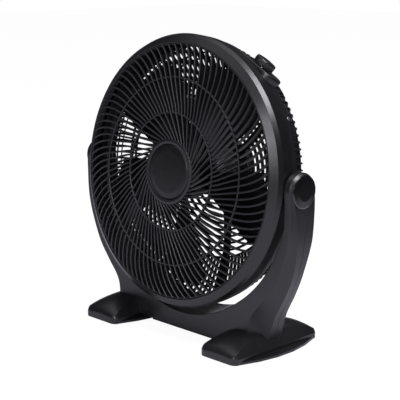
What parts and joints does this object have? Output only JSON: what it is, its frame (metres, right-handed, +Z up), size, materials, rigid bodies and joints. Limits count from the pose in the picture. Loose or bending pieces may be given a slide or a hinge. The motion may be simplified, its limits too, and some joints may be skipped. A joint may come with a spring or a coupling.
{
  "type": "drum floor fan",
  "caption": "Round drum floor fan with swirled front grille, tilting in a U-shaped stand on two domed feet, with a rotary speed knob on the rim.",
  "frame": {"origin": "on the floor, under the middle of the object's box", "axes": "+Z up, -Y the side the air leaves from, +X towards the side of the head that carries the speed knob"},
  "size_m": [0.506, 0.206, 0.5166],
  "materials": {
    "stand_plastic": "satin black moulded plastic",
    "housing_plastic": "semi-gloss black moulded plastic",
    "grille_plastic": "satin black moulded plastic",
    "blade_plastic": "satin black moulded plastic",
    "gloss_trim": "polished black plastic",
    "dark_plastic": "matte black plastic",
    "black_rubber": "matte rubber",
    "plated_steel": "zinc-plated",
    "motor_steel": "pressed steel",
    "copper_wire": "enamelled copper wire",
    "bronze": "sintered bronze"
  },
  "bodies": {
    "stand": {"stand_front_shell": "stand_plastic", "stand_rear_shell": "stand_plastic", "crossbar_tray": "stand_plastic", "left_arm_screw": "plated_steel", "right_arm_screw": "plated_steel", "left_foot_cover": "stand_plastic", "left_foot_base": "stand_plastic", "left_front_pad": "black_rubber", "left_rear_pad": "black_rubber", "left_front_foot_screw": "plated_steel", "left_rear_foot_screw": "plated_steel", "left_pivot_cap": "gloss_trim", "right_foot_cover": "stand_plastic", "right_foot_base": "stand_plastic", "right_front_pad": "black_rubber", "right_rear_pad": "black_rubber", "right_front_foot_screw": "plated_steel", "right_rear_foot_screw": "plated_steel", "right_pivot_cap": "gloss_trim"},
    "head": {"left_pivot_bolt": "plated_steel", "left_pivot_boss": "housing_plastic", "left_pivot_nut": "plated_steel", "left_friction_washer": "black_rubber", "right_pivot_bolt": "plated_steel", "right_pivot_boss": "housing_plastic", "right_pivot_nut": "plated_steel", "right_friction_washer": "black_rubber", "bezel_ring": "housing_plastic", "front_grille": "grille_plastic", "grille_badge": "housing_plastic", "drum_housing": "housing_plastic", "rear_grille": "grille_plastic", "housing_screw_1": "plated_steel", "housing_screw_2": "plated_steel", "housing_screw_3": "plated_steel", "housing_screw_4": "plated_steel", "motor_front_shield": "motor_steel", "motor_rear_shield": "motor_steel", "stator_core": "motor_steel", "front_winding": "copper_wire", "rear_winding": "copper_wire", "front_bearing": "bronze", "rear_bearing": "bronze", "motor_screw_1": "plated_steel", "motor_screw_2": "plated_steel", "motor_screw_3": "plated_steel", "motor_screw_4": "plated_steel", "motor_cover": "housing_plastic", "cord_gland": "black_rubber", "run_capacitor": "dark_plastic", "control_housing": "housing_plastic", "rotary_switch": "dark_plastic", "motor_lead": "black_rubber"},
    "rotor": {"impeller": "blade_plastic", "blade_nut": "blade_plastic", "motor_shaft": "plated_steel", "rotor_core": "motor_steel"},
    "knob": {"speed_knob": "gloss_trim", "switch_shaft": "plated_steel"}
  },
  "joints": [
    {"name": "head_tilt", "type": "hinge", "parent": "stand", "child": "head", "pos_m": [0, -0.014, 0.283], "axis": [1, 0, 0], "range_deg": [-84, 26]},
    {"name": "fan_spin", "type": "hinge", "parent": "head", "child": "rotor", "pos_m": [0, -0.014, 0.283], "axis": [0, -0.9945, 0.1045], "continuous": true},
    {"name": "knob_turn", "type": "hinge", "parent": "head", "child": "knob", "pos_m": [0.13106, 0.017, 0.46795], "axis": [0.4782, 0.3773, 0.7931], "range_deg": [0, 135]}
  ]
}
